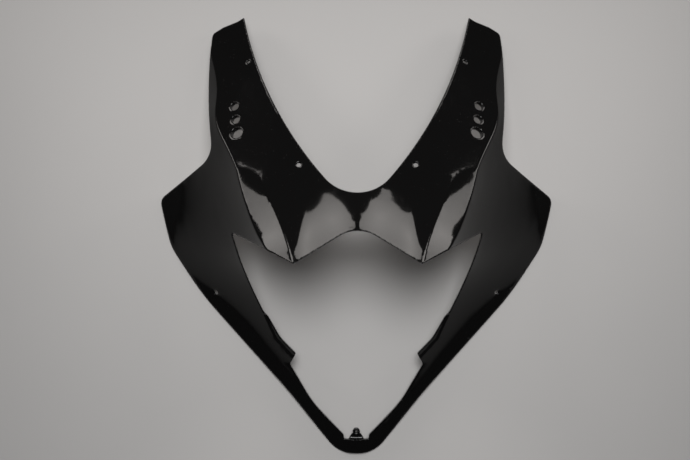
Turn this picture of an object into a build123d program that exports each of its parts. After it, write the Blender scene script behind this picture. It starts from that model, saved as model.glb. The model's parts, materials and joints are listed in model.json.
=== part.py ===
"""Nose fairing of a sports motorcycle: one moulded shell, lying open side down.

x runs to the right, y towards the arm tips and z up, out of the face of the shell.
The mould draws along z, so rims, lips and cut edges are parallel to z.
"""

import os
from math import cos, radians, sin

from build123d import *

# Wall of the shell and the lip that turns back along every edge, in millimetres.
wall = 3.0
lip_depth = 11.0
lip_wall = 2.6
crown_tilt = 38.0
flank_tilt = 45.0

# Plan of the right half, from the arm tip round to the chin: x, y and rounding of each corner.
arm_tip = (147.5, 288.5, 1.0)
arm_step = (156.0, 283.5, 1.0)
arm_end = (176.0, 277.0, 8.0)
arm_corner = (190.5, 269.0, 8.0)
arm_belly = (196.5, 209.5, 500.0)
ear_root = (184.0, 104.0, 32.0)
ear_tip = (261.5, 50.0, 12.0)
ear_heel = (247.0, -13.5, 60.0)
leg_knee = (205.0, -77.5, 300.0)
leg_shin = (88.0, -207.5, 400.0)
chin_corner = (24.0, -288.5, 40.0)

# Windscreen cut-out: a round bottom, then one long arc up to the arm tip.
screen_low_y = 54.5
screen_round = 52.0
screen_turn = 49.0

# Headlight opening, right half from the brow round to the chin, in the same way.
brow_corner = (11.8, 8.0, 40.0)
fang_tip = (75.0, -30.5, 1.2)
slit_brow = (118.0, -10.5, 30.0)
slit_tip = (156.5, 6.0, 1.2)
cheek_edge = (140.0, -52.5, 400.0)
cheek_low = (120.5, -95.5, 3.0)
tab_root = (114.0, -103.0, 3.0)
tab_edge = (99.0, -130.5, 40.0)
tab_tip = (78.5, -151.0, 2.0)
leg_notch = (87.0, -166.5, 3.0)
leg_inner = (58.0, -217.5, 120.0)
chin_inner = (16.5, -261.0, 1.5)
chin_floor_y = -267.5

# Flank contours at three heights, right half from the arm end round to the chin.
rim_level = 0.0
waist_level = 75.0
peak_level = 215.0
rim = [
    (206, 304),
    (215, 240),
    (232, 190),
    (250, 145),
    (263, 95),
    (266, 35),
    (247, -18),
    (200, -88),
    (140, -160),
    (60, -254),
    (0, -297),
]
waist = [
    (140, 304),
    (145, 240),
    (161, 190),
    (181, 145),
    (184, 95),
    (184, 35),
    (170, -14),
    (132, -58),
    (82, -114),
    (28, -180),
    (0, -203),
]
peak = [
    (30, 304),
    (35, 240),
    (52, 190),
    (78, 145),
    (104, 95),
    (102, 35),
    (95, -14),
    (84, -50),
    (50, -92),
    (18, -124),
    (0, -132),
]

# Crown sections: y, height on the centre plane, then the side slopes of panel, root and arm.
panel_half = 75.0
root_half = 110.0
crown_half = 300.0
crown_top = 320.0
crown_rows = [
    (-60, 261.0, -0.355, 0.242, -0.008),
    (-40, 241.0, -0.335, 0.215, -0.040),
    (5, 198.0, -0.270, 0.150, -0.120),
    (65, 153.0, -0.140, -0.020, -0.260),
    (135, 117.0, -0.080, -0.150, -0.350),
    (210, 86.0, -0.100, -0.215, -0.415),
    (275, 62.5, -0.100, -0.245, -0.460),
    (310, 50.0, -0.100, -0.250, -0.480),
]

# Roof whose sides bevel the fangs: y, ridge height and side slope.
bevel_rows = [
    (-65, 290.0, 0.700),
    (-50, 275.5, 0.683),
    (-12, 240.0, 0.603),
    (40, 199.0, 0.415),
    (85, 169.5, 0.315),
    (115, 155.0, 0.275),
    (130, 149.0, 0.265),
]

# Flange of the tab: its fold line, from the cheek to the notch, and its step down from the skin.
tab_fold = [(119.5, -100.0), (105.5, -132.5), (83.5, -156.5)]
tab_drop = 2.0
tab_reach = 30.0

# Holes: plan position and radius, with the pad behind the mirror holes.
mirror_seat = (153.5, 149.0)
mirror_turn = 8.0
mirror_pitch = 20.5
mirror_bolt_r = 5.5
mirror_wire_r = 7.5
mirror_pad_margin = 6.0
mirror_pad_depth = 6.5
screen_hole_high = (140.0, 226.5)
screen_hole_high_r = 2.2
screen_hole_low = (72.0, 89.5)
screen_hole_low_r = 3.0
side_hole = (186.0, -73.5)
side_hole_r = 3.2
hole_reach = 20.0

# Lug on the chin: a foot, sloping shoulders and an eye.
lug_half = 9.0
lug_neck_half = 6.2
lug_neck_y = -260.7
lug_shoulder_y = -264.8
lug_level = 8.0
lug_wall = 5.0
lug_eye_y = -257.5
lug_eye_r = 5.0
lug_hole_r = 1.75
lug_eye_height = 8.0

# The core lies this far below the crown and inside the flank, so the skin is one wall thick.
crown_drop = wall / cos(radians(crown_tilt))
flank_inset = wall / sin(radians(flank_tilt))
pad_sink = wall / 2
lug_root_y = chin_floor_y - lip_wall / 2


def stations(points):
    """Distances along a half contour and on round its mirror image, as spline parameters."""
    steps = [(Vector(*near) - Vector(*far)).length for near, far in zip(points, points[1:])]
    marks = [0.0]
    for step in steps + steps[::-1]:
        marks.append(marks[-1] + step)
    return marks


def contour(points, inset):
    """A whole contour through the points of its right half, moved inwards."""
    whole = [Vector(*point) for point in points]
    whole += [Vector(-x, y) for x, y in reversed(points[:-1])]
    marks = stations(waist)
    curve = Edge.make_spline(whole, parameters=marks)
    moved = []
    for point in whole:
        along = curve.tangent_at(point)
        moved.append(point + Vector(along.Y, -along.X) * inset)
    return Edge.make_spline(moved, parameters=marks)


def flank(inset):
    """Everything inside the cheeks, arm sides, legs and chin."""
    with BuildPart() as form:
        for level, half in ((rim_level, rim), (waist_level, waist), (peak_level, peak)):
            with BuildSketch(Plane.XY.offset(level)):
                with BuildLine():
                    edge = contour(half, inset)
                    add(edge)
                    Line(edge @ 1, edge @ 0)
                make_face()
        loft()
    return form.part


def above_crown(drop):
    """Everything above the centre panel and the upper faces of the arms."""
    with BuildPart() as form:
        for y, centre, panel, root, arm in crown_rows:
            top = centre - drop
            valley = top + panel * panel_half
            crest = valley + root * (root_half - panel_half)
            outer = crest + arm * (crown_half - root_half)
            arm_mid = (root_half + crown_half) / 2
            with BuildSketch(Plane.XZ.offset(-y)):
                with BuildLine():
                    right = Spline(
                        (0, top),
                        (panel_half / 2, (top + valley) / 2),
                        (panel_half, valley),
                        (root_half, crest),
                        (arm_mid, (crest + outer) / 2),
                        (crown_half, outer),
                    )
                    mirror(right, about=Plane.YZ)
                    Polyline(
                        (crown_half, outer),
                        (crown_half, crown_top),
                        (-crown_half, crown_top),
                        (-crown_half, outer),
                    )
                make_face()
        loft()
    return form.part


def above_bevel(drop):
    """Everything above the roof whose sides are the outer faces of the fangs."""
    with BuildPart() as form:
        for y, ridge, slope in bevel_rows:
            eave = ridge - drop - slope * crown_half
            with BuildSketch(Plane.XZ.offset(-y)):
                with BuildLine():
                    Polyline(
                        (0, ridge - drop),
                        (crown_half, eave),
                        (crown_half, crown_top),
                        (-crown_half, crown_top),
                        (-crown_half, eave),
                        close=True,
                    )
                make_face()
        loft()
    return form.part


def form(inset, drop):
    """The whole outer form, or the core that hollows it."""
    with BuildPart() as body:
        add(flank(inset))
        add(above_crown(drop), mode=Mode.SUBTRACT)
        add(above_bevel(drop), mode=Mode.SUBTRACT)
    return body.part


outer_form = form(0, 0)
core_form = form(flank_inset, crown_drop)


def seat(x, y):
    """The plane that touches the outer form over a plan position, facing outwards."""
    hits = outer_form.find_intersection_points(Axis((x, y, 0), (0, 0, 1)))
    point, normal = max(hits, key=lambda hit: hit[0].Z)
    return Plane(origin=point, x_dir=(1, 0, 0), z_dir=normal)


mirror_plane = seat(*mirror_seat).rotated((0, 0, -mirror_turn))
screw_seats = [
    (seat(*screen_hole_high), screen_hole_high_r),
    (seat(*screen_hole_low), screen_hole_low_r),
    (seat(*side_hole), side_hole_r),
]


def trace(start, corners, end):
    """A run of straight lines from start to end with each corner rounded."""
    return FilletPolyline(
        start,
        *[corner[:2] for corner in corners],
        end,
        radius=[corner[2] for corner in corners],
    )


with BuildSketch() as opening:
    with BuildLine():
        brow = (0, brow_corner[1])
        floor = (chin_inner[0], chin_floor_y)
        trace(
            brow,
            [
                brow_corner,
                fang_tip,
                slit_brow,
                slit_tip,
                cheek_edge,
                cheek_low,
                tab_root,
                tab_edge,
                tab_tip,
                leg_notch,
                leg_inner,
                chin_inner,
            ],
            floor,
        )
        Polyline(floor, (0, chin_floor_y), brow)
    make_face()
    mirror(about=Plane.YZ)

with BuildSketch() as screen:
    with BuildLine():
        low = (0, screen_low_y)
        bottom = CenterArc((0, screen_low_y + screen_round), screen_round, -90, screen_turn)
        TangentArc(bottom @ 1, arm_tip[:2], tangent=bottom % 1)
        Polyline(arm_tip[:2], (0, arm_tip[1]), low)
    make_face()
    mirror(about=Plane.YZ)

with BuildSketch() as plan:
    with BuildLine():
        top = (0, arm_tip[1])
        chin = (0, chin_corner[1])
        trace(
            top,
            [
                arm_tip,
                arm_step,
                arm_end,
                arm_corner,
                arm_belly,
                ear_root,
                ear_tip,
                ear_heel,
                leg_knee,
                leg_shin,
                chin_corner,
            ],
            chin,
        )
        Line(chin, top)
    make_face()
    mirror(about=Plane.YZ)
    add(screen.sketch, mode=Mode.SUBTRACT)
    add(opening.sketch, mode=Mode.SUBTRACT)

with BuildSketch() as pocket_plan:
    offset(plan.sketch, amount=-lip_wall)

with BuildSketch() as tab_plan:
    with BuildLine():
        Polyline(
            *tab_fold,
            *[(x - tab_reach, y) for x, y in (tab_fold[-1], tab_fold[0])],
            close=True,
        )
    make_face()
    mirror(about=Plane.YZ)

with BuildPart() as blank:
    extrude(plan.sketch, amount=crown_top)
    add(outer_form, mode=Mode.INTERSECT)

with BuildPart() as slab:
    add(blank.part)
    add(outer_form.moved(Location((0, 0, -lip_depth))), mode=Mode.SUBTRACT)

with BuildPart() as pocket:
    extrude(pocket_plan.sketch, amount=crown_top)
    add(core_form, mode=Mode.INTERSECT)

with BuildPart() as mirror_pad:
    with BuildSketch(mirror_plane.offset(-mirror_pad_depth)):
        SlotCenterToCenter(2 * mirror_pitch, 2 * (mirror_wire_r + mirror_pad_margin), rotation=90)
    extrude(amount=mirror_pad_depth - pad_sink)

with BuildPart() as half_holes:
    with BuildSketch(mirror_plane.offset(-hole_reach)):
        with Locations((0, 0), (0, mirror_pitch)):
            Circle(mirror_bolt_r)
        with Locations((0, -mirror_pitch)):
            Circle(mirror_wire_r)
    extrude(amount=2 * hole_reach)
    for plane, radius in screw_seats:
        with BuildSketch(plane.offset(-hole_reach)):
            Circle(radius)
        extrude(amount=2 * hole_reach)

with BuildPart() as skin:
    add(slab.part)
    add(pocket.part, mode=Mode.SUBTRACT)

with BuildPart() as tabs:
    add(skin.part.moved(Location((0, 0, -tab_drop))))
    extrude(tab_plan.sketch, amount=crown_top, mode=Mode.INTERSECT)

with BuildPart() as nose_fairing:
    add(skin.part)
    extrude(tab_plan.sketch, amount=crown_top, mode=Mode.SUBTRACT)
    add(tabs.part)
    add(mirror_pad.part)
    add(mirror_pad.part.mirror(Plane.YZ))
    with BuildSketch(Plane.XY.offset(lug_level)):
        with BuildLine():
            Polyline(
                (0, lug_root_y),
                (lug_half, lug_root_y),
                (lug_half, lug_shoulder_y),
                (lug_neck_half, lug_neck_y),
                (0, lug_neck_y),
                close=True,
            )
        make_face()
        mirror(about=Plane.YZ)
    extrude(amount=lug_wall)
    with BuildSketch(Plane.XY.offset(lug_level)):
        with Locations((0, lug_eye_y)):
            Circle(lug_eye_r)
    extrude(amount=lug_eye_height)
    add(half_holes.part, mode=Mode.SUBTRACT)
    add(half_holes.part.mirror(Plane.YZ), mode=Mode.SUBTRACT)
    with BuildSketch():
        with Locations((0, lug_eye_y)):
            Circle(lug_hole_r)
    extrude(amount=lug_level + lug_eye_height, mode=Mode.SUBTRACT)

nose_fairing.part.label = "nose_fairing"
os.makedirs("parts", exist_ok=True)
export_step(nose_fairing.part, "parts/nose_fairing.step")
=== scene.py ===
"""Moulded shell, finish, stage, light and camera for the nose fairing of a sports motorcycle."""

import json
import math

import bpy
import numpy as np
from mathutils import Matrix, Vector

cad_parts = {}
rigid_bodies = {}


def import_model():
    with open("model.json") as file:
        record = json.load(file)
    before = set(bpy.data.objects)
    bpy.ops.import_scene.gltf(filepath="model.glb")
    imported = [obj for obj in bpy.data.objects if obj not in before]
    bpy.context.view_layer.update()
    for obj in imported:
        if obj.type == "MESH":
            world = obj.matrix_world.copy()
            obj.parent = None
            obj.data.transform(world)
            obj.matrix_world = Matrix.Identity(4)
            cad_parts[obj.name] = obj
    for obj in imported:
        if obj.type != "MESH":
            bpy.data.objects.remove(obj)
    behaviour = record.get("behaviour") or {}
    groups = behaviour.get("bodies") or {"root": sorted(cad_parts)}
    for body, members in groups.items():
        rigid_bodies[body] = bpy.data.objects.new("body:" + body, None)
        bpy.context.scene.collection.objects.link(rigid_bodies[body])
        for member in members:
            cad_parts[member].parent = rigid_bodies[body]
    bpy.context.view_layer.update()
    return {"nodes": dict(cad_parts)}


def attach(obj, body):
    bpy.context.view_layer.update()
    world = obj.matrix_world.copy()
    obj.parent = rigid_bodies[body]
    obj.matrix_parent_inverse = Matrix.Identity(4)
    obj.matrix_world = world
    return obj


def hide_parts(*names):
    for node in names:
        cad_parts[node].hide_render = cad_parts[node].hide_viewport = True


bl_info = {
    "name": "Nose fairing",
    "version": (1, 1, 0),
    "blender": (4, 5, 0),
    "location": "View3D > Sidebar > Fairing",
    "description": "Moulds the shell of a motorcycle nose fairing, gives it its gloss and sets its stage",
    "category": "Object",
}

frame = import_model()
SHELL_NODE = "nose_fairing"

# Points closer than this are merged, and each smoothing round moves a point by this share.
MERGE_DISTANCE = 0.00001
SMOOTH_FACTOR = 0.5

# The key lamp hangs high beyond the arm tips and faces the table inside the headlight opening.
KEY_PLACE = (0.0, 0.66, 2.32)
KEY_TARGET = (0.0, -0.1, 0.0)
KEY_WIDTH = 1.1

# The soft boxes stand in mirrored pairs beyond the arm tips, turned to a point on the brow.
# Each is given for the right side, in degrees and metres.
BROW_POINT = (0.07, 0.03, 0.13)
BROW_BOX = {
    "azimuth": 21.1,
    "elevation": 11.9,
    "distance": 1.27,
    "width": 0.406,
    "height": 0.48,
    "roll": -53.0,
}
FANG_BOX = {
    "azimuth": 54.6,
    "elevation": 17.3,
    "distance": 0.95,
    "width": 0.214,
    "height": 0.517,
    "roll": 1.6,
}

# The camera hangs over a point close to the middle of the shell and looks straight down.
CAMERA_POINT = (-0.015, 0.0092)
SENSOR_WIDTH = 36.0
FLOOR_WIDTH = 40.0


class Wire:
    """A shader socket that takes part in Python sums, and adds its Math nodes as it goes."""

    def __init__(self, shader, socket):
        self.shader = shader
        self.socket = socket

    def sum(self, operation, *others):
        """This value and the others through one Math node."""
        node = self.shader.node("ShaderNodeMath", {"operation": operation}, {})
        for slot, value in zip(node.inputs, (self, *others)):
            self.shader.feed(slot, value)
        return Wire(self.shader, node.outputs[0])

    def __add__(self, other):
        return self.sum("ADD", other)

    __radd__ = __add__

    def __mul__(self, other):
        return self.sum("MULTIPLY", other)

    __rmul__ = __mul__

    def __lt__(self, other):
        return self.sum("LESS_THAN", other)

    def __gt__(self, other):
        return self.sum("GREATER_THAN", other)


class Shader:
    """A material whose nodes are added one call at a time."""

    def __init__(self, name):
        self.material = bpy.data.materials.new(name)
        self.material.use_nodes = True
        self.tree = self.material.node_tree
        self.surface = self.tree.nodes["Principled BSDF"]
        self.place = self.wire("ShaderNodeTexCoord", {}, {}, "Object")

    def feed(self, slot, value):
        """Links a wire to a socket, or sets the socket to a plain value."""
        if isinstance(value, Wire):
            self.tree.links.new(value.socket, slot)
        else:
            slot.default_value = value

    def node(self, kind, settings, sockets):
        """A new node of one kind, with its settings made before its sockets are fed."""
        node = self.tree.nodes.new(kind)
        for key, value in settings.items():
            setattr(node, key, value)
        for key, value in sockets.items():
            self.feed(node.inputs[key], value)
        return node

    def wire(self, kind, settings, sockets, output):
        """One output of a new node, ready for sums."""
        return Wire(self, self.node(kind, settings, sockets).outputs[output])

    def noise(self, scale, detail, stretch=(1, 1, 1)):
        """Noise from 0 to 1 whose grains are about one metre over the scale."""
        where = self.wire("ShaderNodeMapping", {}, {"Vector": self.place, "Scale": stretch}, 0)
        return self.wire("ShaderNodeTexNoise", {}, {"Vector": where, "Scale": scale, "Detail": detail}, 0)

    def mix(self, factor, low, high):
        """One colour turning into another."""
        sockets = {"Factor": factor, "A": (*low, 1.0), "B": (*high, 1.0)}
        node = self.node("ShaderNodeMix", {"data_type": "RGBA"}, {})
        for key, value in sockets.items():
            slot = next(s for s in node.inputs if s.enabled and s.name == key)
            self.feed(slot, value)
        return Wire(self, next(s for s in node.outputs if s.enabled))

    def relief(self, height, depth):
        """Normals of a surface whose height varies by a depth in metres."""
        return self.wire("ShaderNodeBump", {}, {"Height": height, "Distance": depth}, 0)

    def set(self, **values):
        """Sockets of the surface, by name, with underscores for spaces."""
        for key, value in values.items():
            self.feed(self.surface.inputs[key.replace("_", " ")], value)


def gloss_black(finish):
    """Polished face of injection-moulded black plastic: flow waves, handling marks, hairlines, dust."""
    shader = Shader("gloss_black")
    hairline_level = 0.68
    speck_radius = 0.055
    dusty_level = 0.55
    smudge_haze = 0.04
    hairline_haze = 0.03
    dust_haze = 0.4
    wave_share = 9.0
    peel_share = 0.35
    waves = shader.noise(scale=16.0, detail=1.0)
    peel = shader.noise(scale=240.0, detail=2.0)
    smudge = shader.noise(scale=22.0, detail=4.0)
    hairline = shader.noise(scale=420.0, detail=2.0, stretch=(1.0, 0.04, 0.3)) > hairline_level
    specks = {"Vector": shader.place, "Scale": 330.0}
    speck = shader.wire("ShaderNodeTexVoronoi", {}, specks, "Distance") < speck_radius
    dust = speck * (shader.noise(scale=60.0, detail=2.0) > dusty_level)
    shader.set(
        Base_Color=shader.mix(dust, finish.colour, finish.dust_colour),
        Roughness=finish.roughness + smudge * smudge_haze + hairline * hairline_haze + dust * dust_haze,
        Specular_IOR_Level=finish.reflection,
        Normal=shader.relief(waves * wave_share + peel * peel_share, finish.wave_depth),
    )
    return shader.material


def satin_black(finish):
    """Grained inner face of the same plastic, as it leaves the mould."""
    shader = Shader("satin_black")
    cloud_lift = 2.2
    cloud_haze = 0.08
    grain_haze = 0.06
    grain = shader.noise(scale=1500.0, detail=3.0)
    cloud = shader.noise(scale=30.0, detail=3.0)
    cloudy = [cloud_lift * part for part in finish.inner_colour]
    shader.set(
        Base_Color=shader.mix(cloud, finish.inner_colour, cloudy),
        Roughness=finish.inner_roughness + cloud * cloud_haze + grain * grain_haze,
        Specular_IOR_Level=finish.reflection,
        Normal=shader.relief(grain, finish.grain_depth),
    )
    return shader.material


def pale_table(setup):
    """Matt table top with a faint mottle."""
    shader = Shader("pale_table")
    mottle_lift = 1.05
    broad_share = 0.6
    fine_share = 0.4
    lowest_roughness = 0.8
    mottle_haze = 0.1
    broad = shader.noise(scale=9.0, detail=5.0)
    fine = shader.noise(scale=700.0, detail=2.0)
    mottle = broad * broad_share + fine * fine_share
    lighter = [mottle_lift * part for part in setup.floor_colour]
    shader.set(
        Base_Color=shader.mix(mottle, setup.floor_colour, lighter),
        Roughness=lowest_roughness + mottle * mottle_haze,
    )
    return shader.material


class ShellMould(bpy.types.PropertyGroup):
    """How the shell's mesh is moulded."""

    voxel: bpy.props.FloatProperty(
        name="Voxel", description="Size of the grid that the shell is cast in",
        default=0.001, unit="LENGTH",
    )
    edge_rounds: bpy.props.IntProperty(
        name="Edge rounds", description="Smoothing rounds that ease every edge", default=5,
    )
    crease_angle: bpy.props.FloatProperty(
        name="Crease angle", description="Bend between faces from which a crease is kept",
        default=math.radians(4.0), subtype="ANGLE",
    )
    crease_rings: bpy.props.IntProperty(
        name="Crease rings", description="Rings of faces kept beside a crease", default=2,
    )
    face_rounds: bpy.props.IntProperty(
        name="Face rounds", description="Smoothing rounds that fair the faces between creases", default=300,
    )
    blend_rounds: bpy.props.IntProperty(
        name="Blend rounds", description="Smoothing rounds that blend creases and faces", default=3,
    )
    triangles: bpy.props.IntProperty(
        name="Triangles", description="Triangles that the finished shell is thinned to", default=195000,
    )
    inner_tilt: bpy.props.FloatProperty(
        name="Inner tilt", description="Upward part of a face's normal below which it is an inner face",
        default=-0.2, subtype="FACTOR",
    )


class ShellFinish(bpy.types.PropertyGroup):
    """Colour and gloss of the moulded shell."""

    colour: bpy.props.FloatVectorProperty(
        name="Colour", description="Colour of the polished plastic", subtype="COLOR",
        default=(0.0032, 0.0031, 0.0031), min=0.0, max=1.0,
    )
    dust_colour: bpy.props.FloatVectorProperty(
        name="Dust", description="Colour of the specks of dust", subtype="COLOR",
        default=(0.09, 0.088, 0.085), min=0.0, max=1.0,
    )
    roughness: bpy.props.FloatProperty(
        name="Roughness", description="Lowest roughness of the polished face",
        default=0.035, min=0.0, max=1.0, subtype="FACTOR",
    )
    reflection: bpy.props.FloatProperty(
        name="Reflection", description="Specular level of the plastic",
        default=0.23, min=0.0, max=1.0, subtype="FACTOR",
    )
    wave_depth: bpy.props.FloatProperty(
        name="Wave depth", description="Depth of the flow waves in the polished face",
        default=0.00002, unit="LENGTH", precision=6,
    )
    inner_colour: bpy.props.FloatVectorProperty(
        name="Inner colour", description="Colour of the grained inner face", subtype="COLOR",
        default=(0.006, 0.006, 0.0062), min=0.0, max=1.0,
    )
    inner_roughness: bpy.props.FloatProperty(
        name="Inner roughness", description="Lowest roughness of the grained inner face",
        default=0.42, min=0.0, max=1.0, subtype="FACTOR",
    )
    grain_depth: bpy.props.FloatProperty(
        name="Grain depth", description="Depth of the grain of the inner face",
        default=0.00004, unit="LENGTH", precision=6,
    )


class StageSetup(bpy.types.PropertyGroup):
    """Floor, lamps and camera."""

    floor_colour: bpy.props.FloatVectorProperty(
        name="Floor", description="Colour of the table top", subtype="COLOR",
        default=(0.45, 0.441, 0.434), min=0.0, max=1.0,
    )
    lamp_colour: bpy.props.FloatVectorProperty(
        name="Lamp colour", description="Colour of the soft boxes", subtype="COLOR",
        default=(1.0, 0.955, 0.92), min=0.0, max=1.0,
    )
    key_power: bpy.props.FloatProperty(
        name="Key power", description="Power of the lamp high beyond the arm tips",
        default=6.4, unit="POWER",
    )
    key_spread: bpy.props.FloatProperty(
        name="Key spread", description="Angle of the key lamp's beam",
        default=math.radians(60.0), subtype="ANGLE",
    )
    brow_power: bpy.props.FloatProperty(
        name="Brow power", description="Power of each soft box that the brow mirrors",
        default=0.50, unit="POWER",
    )
    fang_power: bpy.props.FloatProperty(
        name="Fang power", description="Power of each soft box that the fangs' outer faces mirror",
        default=0.30, unit="POWER",
    )
    box_spread: bpy.props.FloatProperty(
        name="Box spread", description="Angle of the soft boxes' beams",
        default=math.radians(60.0), subtype="ANGLE",
    )
    surround: bpy.props.FloatVectorProperty(
        name="Surround", description="Colour of the studio round the table", subtype="COLOR",
        default=(0.045, 0.045, 0.046), min=0.0, max=1.0,
    )
    camera_height: bpy.props.FloatProperty(
        name="Camera height", description="Height of the lens above the table",
        default=1.6, unit="LENGTH",
    )
    lens: bpy.props.FloatProperty(
        name="Lens", description="Focal length of the camera in millimetres",
        default=62.5, subtype="DISTANCE_CAMERA",
    )


def select_only(item):
    """Makes one object the selected and active one."""
    bpy.ops.object.select_all(action="DESELECT")
    item.select_set(True)
    bpy.context.view_layer.objects.active = item


def work(item, kind, **settings):
    """Adds one modifier to the active object and applies it."""
    modifier = item.modifiers.new(kind.lower(), kind)
    for key, value in settings.items():
        setattr(modifier, key, value)
    bpy.ops.object.modifier_apply(modifier=modifier.name)


def pin_creases(item, mould):
    """Puts the points on and beside every crease into one group and returns its name."""
    bpy.ops.object.mode_set(mode="EDIT")
    bpy.ops.mesh.select_mode(type="EDGE")
    bpy.ops.mesh.select_all(action="DESELECT")
    bpy.ops.mesh.edges_select_sharp(sharpness=mould.crease_angle)
    for _ in range(mould.crease_rings):
        bpy.ops.mesh.select_more()
    group = item.vertex_groups.new(name="creases")
    bpy.ops.object.vertex_group_assign()
    bpy.ops.object.mode_set(mode="OBJECT")
    return group.name


class FAIRING_OT_shell(bpy.types.Operator):
    """Moulds the shell with eased edges and fair faces, polished outside and grained inside"""

    bl_idname = "fairing.shell"
    bl_label = "Shell"

    def execute(self, context):
        mould = context.scene.fairing_mould
        finish = context.scene.fairing_finish
        shell = bpy.data.objects.new("fairing_shell", frame["nodes"][SHELL_NODE].data.copy())
        context.scene.collection.objects.link(shell)
        select_only(shell)
        bpy.ops.object.mode_set(mode="EDIT")
        bpy.ops.mesh.select_all(action="SELECT")
        bpy.ops.mesh.remove_doubles(threshold=MERGE_DISTANCE)
        bpy.ops.object.mode_set(mode="OBJECT")
        work(shell, "REMESH", mode="VOXEL", voxel_size=mould.voxel)
        work(shell, "SMOOTH", factor=SMOOTH_FACTOR, iterations=mould.edge_rounds)
        creases = pin_creases(shell, mould)
        work(shell, "SMOOTH", factor=SMOOTH_FACTOR, iterations=mould.face_rounds,
             vertex_group=creases, invert_vertex_group=True)
        work(shell, "SMOOTH", factor=SMOOTH_FACTOR, iterations=mould.blend_rounds)
        quads = len(shell.data.polygons)
        work(shell, "DECIMATE", ratio=mould.triangles / (2 * quads))
        bpy.ops.object.shade_smooth()
        shell.vertex_groups.clear()

        mesh = shell.data
        mesh.materials.clear()
        mesh.materials.append(gloss_black(finish))
        mesh.materials.append(satin_black(finish))
        normals = np.empty(3 * len(mesh.polygons), dtype=np.float32)
        mesh.polygons.foreach_get("normal", normals)
        inner = normals[2::3] < mould.inner_tilt
        mesh.polygons.foreach_set("material_index", inner.astype(np.int32))
        mesh.update()
        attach(shell, "root")
        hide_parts(SHELL_NODE)
        return {"FINISHED"}


def soft_box(name, width, height, power, colour, spread):
    """A soft rectangular lamp that the camera doesn't see."""
    data = bpy.data.lights.new(name, "AREA")
    data.shape = "RECTANGLE"
    data.size = width
    data.size_y = height
    data.energy = power
    data.color = colour
    data.spread = spread
    lamp = bpy.data.objects.new(name, data)
    bpy.context.scene.collection.objects.link(lamp)
    lamp.visible_camera = False
    return lamp


def aim(lamp, place, target, roll):
    """Puts a lamp at a place, facing a point and turned about its own axis."""
    lamp.location = place
    lamp.rotation_euler = (Vector(target) - Vector(place)).to_track_quat("-Z", "Y").to_euler()
    lamp.rotation_euler.rotate_axis("Z", math.radians(roll))


def paired_boxes(name, box, power, setup):
    """Two mirrored soft boxes, placed from the brow by compass angle, height angle and distance."""
    turn = math.radians(box["azimuth"])
    rise = math.radians(box["elevation"])
    for side, mark in ((1, "right"), (-1, "left")):
        target = Vector((side * BROW_POINT[0], *BROW_POINT[1:]))
        across = side * math.sin(turn) * math.cos(rise)
        along = math.cos(turn) * math.cos(rise)
        place = target + box["distance"] * Vector((across, along, math.sin(rise)))
        size = (box["width"], box["height"])
        lamp = soft_box(f"{name}_{mark}", *size, power, setup.lamp_colour, setup.box_spread)
        aim(lamp, place, target, side * box["roll"])


class FAIRING_OT_stage(bpy.types.Operator):
    """Lays the table top, hangs the lamps and sets the camera over the shell"""

    bl_idname = "fairing.stage"
    bl_label = "Stage"

    def execute(self, context):
        setup = context.scene.fairing_stage
        scene = context.scene
        bpy.ops.object.select_all(action="DESELECT")
        bpy.ops.mesh.primitive_plane_add(size=FLOOR_WIDTH, location=(0, 0, 0))
        floor = context.object
        floor.name = "table_top"
        floor.data.materials.append(pale_table(setup))

        key = soft_box("key", KEY_WIDTH, KEY_WIDTH, setup.key_power, (1, 1, 1), setup.key_spread)
        aim(key, KEY_PLACE, KEY_TARGET, 0.0)
        paired_boxes("brow_box", BROW_BOX, setup.brow_power, setup)
        paired_boxes("fang_box", FANG_BOX, setup.fang_power, setup)

        world = bpy.data.worlds.new("studio")
        scene.world = world
        world.use_nodes = True
        back = world.node_tree.nodes["Background"]
        back.inputs["Color"].default_value = (*setup.surround, 1.0)

        data = bpy.data.cameras.new("overhead_camera")
        data.sensor_width = SENSOR_WIDTH
        data.lens = setup.lens
        camera = bpy.data.objects.new("overhead_camera", data)
        scene.collection.objects.link(camera)
        camera.location = (*CAMERA_POINT, setup.camera_height)
        scene.camera = camera
        scene.view_settings.view_transform = "Standard"
        return {"FINISHED"}


class FAIRING_PT_panel(bpy.types.Panel):
    """Lists the pieces in the 3D view's sidebar"""

    bl_idname = "FAIRING_PT_panel"
    bl_label = "Nose fairing"
    bl_space_type = "VIEW_3D"
    bl_region_type = "UI"
    bl_category = "Fairing"

    def draw(self, context):
        for step in OPERATORS:
            self.layout.operator(step.bl_idname)
        for name, group in GROUPS.items():
            for key in group.__annotations__:
                self.layout.prop(getattr(context.scene, name), key)


GROUPS = {"fairing_mould": ShellMould, "fairing_finish": ShellFinish, "fairing_stage": StageSetup}
OPERATORS = (FAIRING_OT_shell, FAIRING_OT_stage)
CLASSES = (*GROUPS.values(), *OPERATORS, FAIRING_PT_panel)


def register():
    """Adds the classes, and one group of settings each to the scene."""
    for item in CLASSES:
        bpy.utils.register_class(item)
    for name, group in GROUPS.items():
        setattr(bpy.types.Scene, name, bpy.props.PointerProperty(type=group))


def unregister():
    """Takes away what register adds."""
    for name in GROUPS:
        delattr(bpy.types.Scene, name)
    for item in reversed(CLASSES):
        bpy.utils.unregister_class(item)


def main():
    """Moulds the shell and sets the stage."""
    register()
    bpy.ops.fairing.shell()
    bpy.ops.fairing.stage()


if __name__ == "__main__":
    main()
